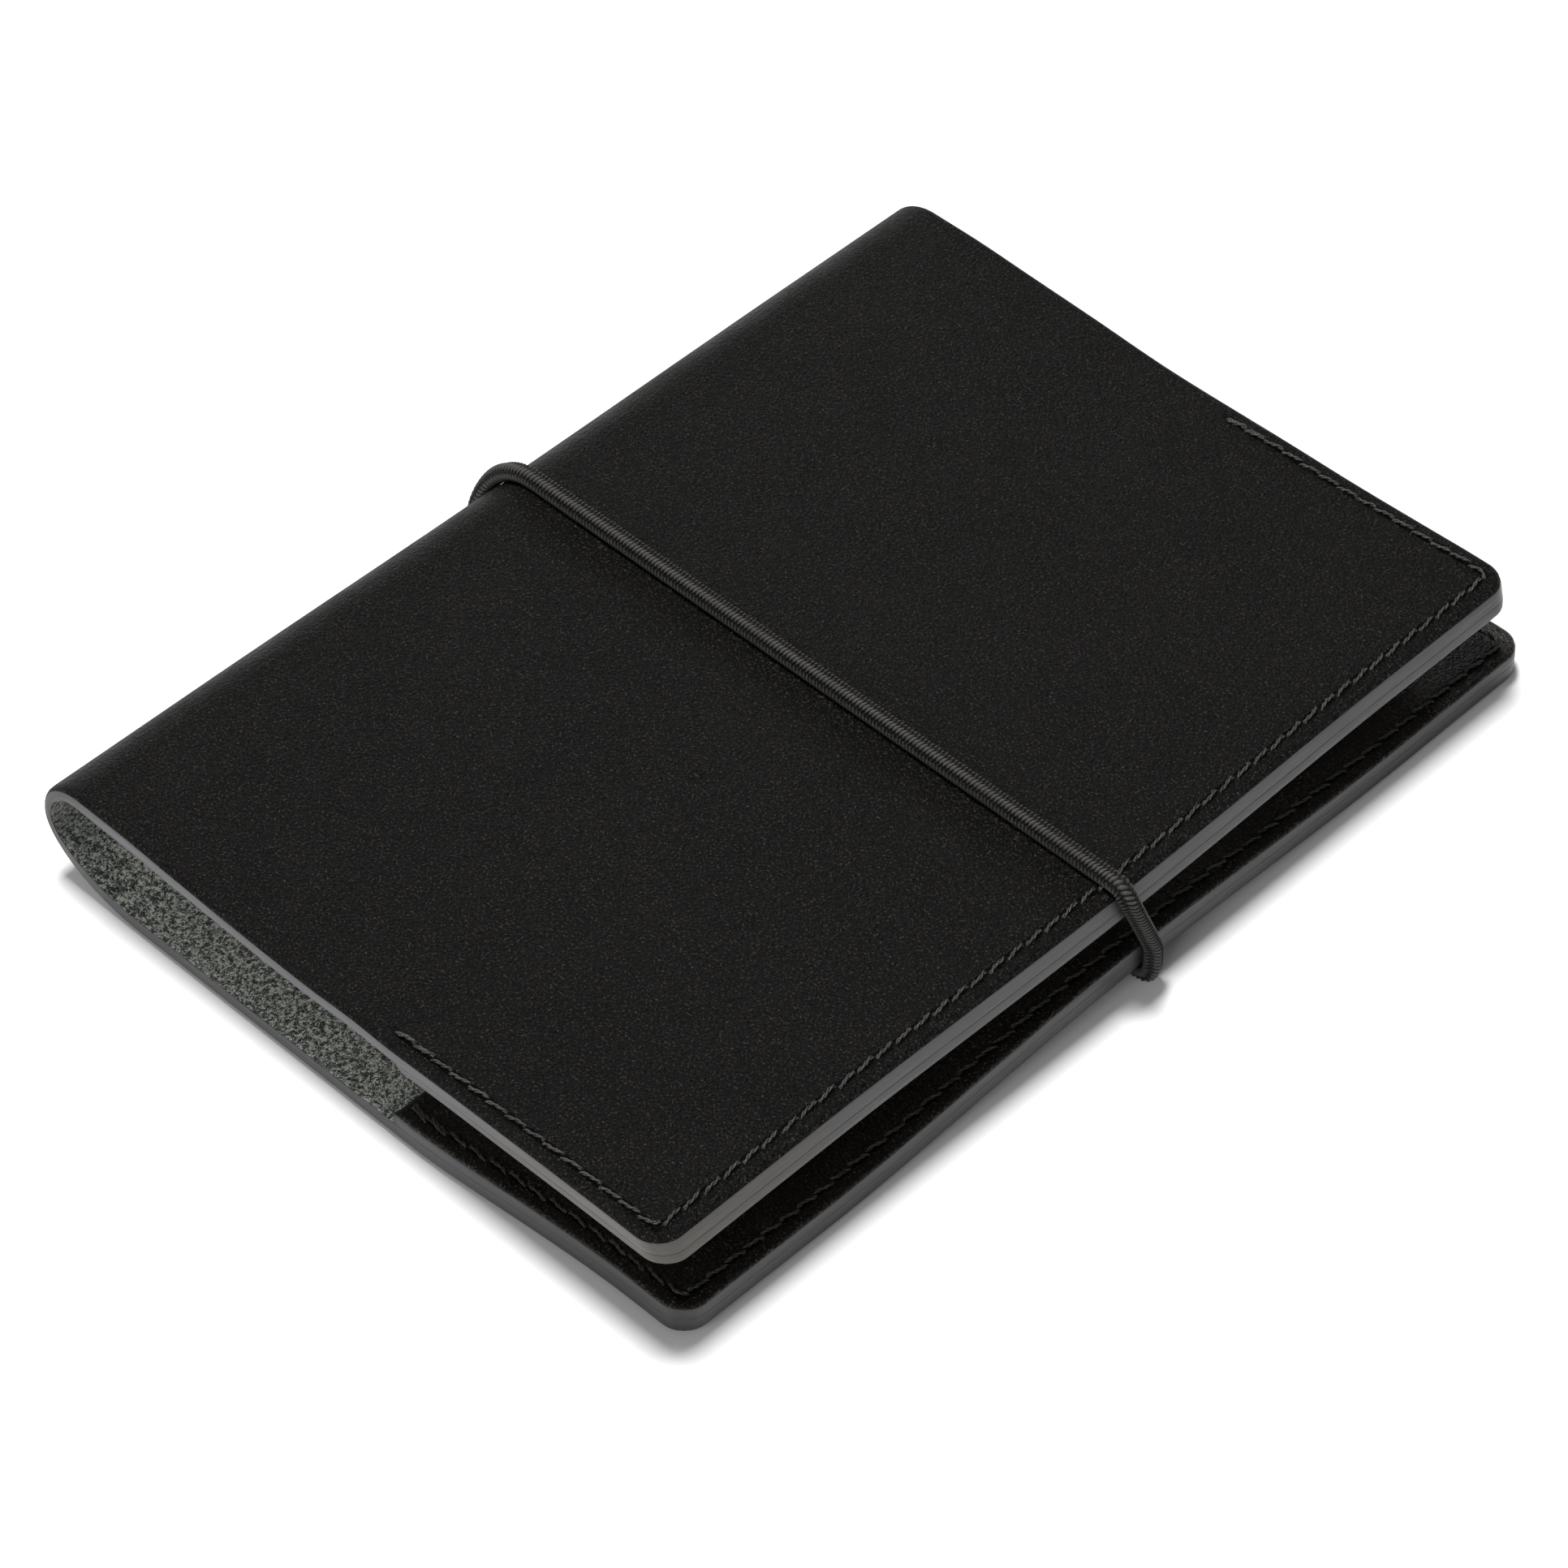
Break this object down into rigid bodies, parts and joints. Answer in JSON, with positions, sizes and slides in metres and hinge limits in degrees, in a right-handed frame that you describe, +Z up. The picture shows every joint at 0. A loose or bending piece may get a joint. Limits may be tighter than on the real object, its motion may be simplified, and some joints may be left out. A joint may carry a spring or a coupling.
{
  "type": "pocket notebook",
  "caption": "Pocket notebook: soft black leather cover folded round a thin stapled refill, with stitched inner pockets and a round elastic band holding it shut.",
  "frame": {"origin": "middle of the closed notebook's footprint, elastic included, on the plane it lies on", "axes": "+Z up out of the front cover, +Y along the spine from the near edge to the far edge, +X from the spine to the fore-edge"},
  "size_m": [0.1068, 0.14, 0.0181],
  "materials": {
    "cover_leather": "black grained leather, satin; flecked grey-green suede inside; grey painted edges",
    "panel_leather": "smooth near-black leather, grain side showing",
    "thread": "black waxed thread",
    "elastic": "black braided round elastic",
    "card": "matt black card",
    "paper": "uncoated ivory paper",
    "staple_wire": "plain steel wire"
  },
  "bodies": {
    "back": {"back_cover_leather": "cover_leather", "back_pocket_panel": "panel_leather", "back_stitching": "thread", "refill_back_card": "card", "refill_lower_pages": "paper", "refill_staples": "staple_wire"},
    "spine_lower": {"spine_lower_leather": "cover_leather"},
    "spine_upper": {"spine_upper_leather": "cover_leather"},
    "front": {"front_cover_leather": "cover_leather", "front_pocket_panel": "panel_leather", "front_stitching": "thread"},
    "refill_front": {"refill_front_card": "card"},
    "upper_pages": {"refill_upper_pages": "paper"},
    "leaf_a": {"refill_leaf_a": "paper"},
    "leaf_b": {"refill_leaf_b": "paper"},
    "elastic": {"elastic_loop": "elastic"}
  },
  "joints": [
    {"name": "spine_lower_fold", "type": "hinge", "parent": "back", "child": "spine_lower", "pos_m": [-0.03535, 0, 0], "axis": [0, -1, 0], "range_deg": [0, 31.34]},
    {"name": "spine_middle_fold", "type": "hinge", "parent": "spine_lower", "child": "spine_upper", "pos_m": [-0.05095, 0, 0.0095], "axis": [0, -1, 0], "range_deg": [0, 104.07]},
    {"name": "front_cover_fold", "type": "hinge", "parent": "spine_upper", "child": "front", "pos_m": [-0.04385, 0, 0.0165], "axis": [0, -1, 0], "range_deg": [0, 44.59]},
    {"name": "refill_front_cover_turn", "type": "hinge", "parent": "back", "child": "refill_front", "pos_m": [-0.04395, 0, 0.00865], "axis": [0, -1, 0], "range_deg": [0, 178]},
    {"name": "upper_pages_turn", "type": "hinge", "parent": "back", "child": "upper_pages", "pos_m": [-0.04395, 0, 0.00865], "axis": [0, -1, 0], "range_deg": [0, 174]},
    {"name": "leaf_b_turn", "type": "hinge", "parent": "back", "child": "leaf_b", "pos_m": [-0.04395, 0, 0.00865], "axis": [0, -1, 0], "range_deg": [0, 128]},
    {"name": "leaf_a_turn", "type": "hinge", "parent": "back", "child": "leaf_a", "pos_m": [-0.04395, 0, 0.00865], "axis": [0, -1, 0], "range_deg": [0, 52]},
    {"name": "elastic_slide", "type": "slide", "parent": "back", "child": "elastic", "axis": [0, 1, 0], "range_m": [0, 0.075], "deforming": ["elastic_loop"]}
  ],
  "couplings": [
    {"joint": "spine_lower_fold", "follows": "spine_middle_fold", "ratio": 0.30114},
    {"joint": "front_cover_fold", "follows": "spine_middle_fold", "ratio": 0.42846},
    {"joint": "refill_front_cover_turn", "follows": "spine_middle_fold", "ratio": 1.7104},
    {"joint": "upper_pages_turn", "follows": "spine_middle_fold", "ratio": 1.672},
    {"joint": "leaf_b_turn", "follows": "spine_middle_fold", "ratio": 1.2299},
    {"joint": "leaf_a_turn", "follows": "spine_middle_fold", "ratio": 0.49966},
    {"joint": "elastic_slide", "follows": "spine_middle_fold", "m_per_rad": 0.041291}
  ]
}
